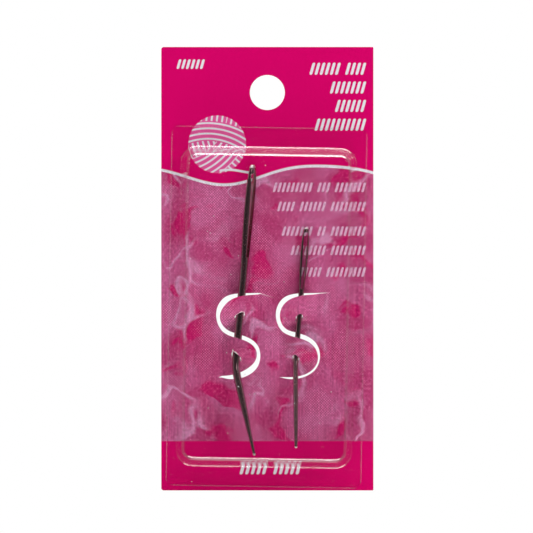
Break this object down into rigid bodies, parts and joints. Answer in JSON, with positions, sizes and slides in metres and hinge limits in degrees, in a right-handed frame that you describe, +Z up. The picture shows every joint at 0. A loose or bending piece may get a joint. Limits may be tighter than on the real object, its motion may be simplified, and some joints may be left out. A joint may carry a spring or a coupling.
{
  "type": "carded yarn needles",
  "caption": "Retail hang card holding bent-tip steel yarn needles, woven through S-shaped cuts in the card under a clear thermoformed blister.",
  "frame": {"origin": "centre of the hang hole, in the middle of the card's thickness", "axes": "+Z up towards the card's top edge, -Y out of the printed face, +X to the right as the printed face is seen"},
  "size_m": [0.0508, 0.0107, 0.1062],
  "materials": {
    "card_board": "printed and lacquered face, plain off-white back and cut edges",
    "clear_film": "clear thermoformed film, glossy, lightly scuffed",
    "needle_steel": "polished nickel-plated steel wire"
  },
  "bodies": {
    "card": {"card": "card_board"},
    "blister": {"blister": "clear_film"},
    "large_needle": {"large_needle": "needle_steel"},
    "small_needle": {"small_needle": "needle_steel"}
  },
  "joints": [
    {"name": "blister_lift", "type": "slide", "parent": "card", "child": "blister", "axis": [0, -1, 0], "range_m": [0, 0.03]},
    {"name": "large_needle_slide", "type": "slide", "parent": "card", "child": "large_needle", "axis": [0.0872, 0, 0.9962], "range_m": [-0.0005, 0.001]},
    {"name": "small_needle_slide", "type": "slide", "parent": "card", "child": "small_needle", "axis": [0.0802, 0, 0.9968], "range_m": [-0.0015, 0.001]}
  ]
}
